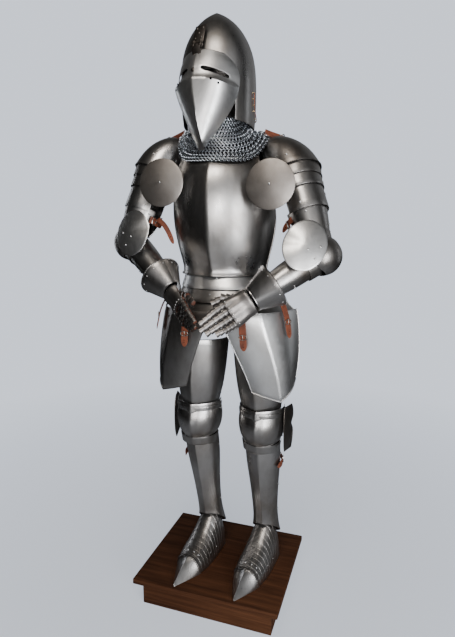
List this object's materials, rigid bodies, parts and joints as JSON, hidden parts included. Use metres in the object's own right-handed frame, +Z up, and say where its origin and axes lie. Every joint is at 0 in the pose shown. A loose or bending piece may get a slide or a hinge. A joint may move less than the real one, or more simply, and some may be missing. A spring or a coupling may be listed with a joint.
{
  "type": "suit of plate armour on a wooden display stand",
  "caption": "Full plate harness with visored helmet, mail collar, tassets and gauntlets folded at the front, standing on a stepped wooden base; the visor lifts.",
  "frame": {"origin": "centre of the underside of the wooden stand", "axes": "+Z up, the suit faces -Y, its left side is towards +X"},
  "size_m": [0.7568, 0.4571, 1.9469],
  "materials": {
    "steel": "darkened and brushed",
    "mail": "riveted rings",
    "leather": "red-brown, waxed",
    "wood": "dark stain"
  },
  "bodies": {
    "harness": {"stand_board": "wood", "stand_plinth": "wood", "bascinet_skull": "steel", "brow_hinge": "steel", "camail": "mail", "breastplate": "steel", "backplate": "steel", "waist_lame": "steel", "fauld_upper": "steel", "fauld_lower": "steel", "culet": "steel", "tasset_left": "steel", "tasset_strap_inner_left": "leather", "tasset_strap_outer_left": "leather", "tasset_right": "steel", "tasset_strap_inner_right": "leather", "tasset_strap_outer_right": "leather", "spaulder_cop_left": "steel", "spaulder_lame_1_left": "steel", "spaulder_lame_2_left": "steel", "spaulder_lame_3_left": "steel", "rerebrace_left": "steel", "arm_strap_left": "leather", "couter_left": "steel", "couter_wing_left": "steel", "vambrace_left": "steel", "gauntlet_cuff_left": "steel", "gauntlet_hand_left": "steel", "gauntlet_fingers_left": "leather", "besagew_left": "steel", "shoulder_strap_left": "leather", "spaulder_cop_right": "steel", "spaulder_lame_1_right": "steel", "spaulder_lame_2_right": "steel", "spaulder_lame_3_right": "steel", "rerebrace_right": "steel", "arm_strap_right": "leather", "couter_right": "steel", "couter_wing_right": "steel", "vambrace_right": "steel", "gauntlet_cuff_right": "steel", "gauntlet_hand_right": "steel", "gauntlet_fingers_right": "leather", "besagew_right": "steel", "shoulder_strap_right": "leather", "cuisse_left": "steel", "poleyn_lame_left": "steel", "poleyn_left": "steel", "poleyn_wing_left": "steel", "greave_left": "steel", "greave_strap_left": "leather", "sabaton_left": "steel", "cuisse_right": "steel", "poleyn_lame_right": "steel", "poleyn_right": "steel", "poleyn_wing_right": "steel", "greave_right": "steel", "greave_strap_right": "leather", "sabaton_right": "steel"},
    "visor": {"visor": "steel"}
  },
  "joints": [
    {"name": "visor_hinge", "type": "hinge", "parent": "harness", "child": "visor", "pos_m": [-0.04485, -0.0945, 1.81697], "axis": [-0.9847, 0.1736, -0.0175], "range_deg": [0, 100]}
  ]
}
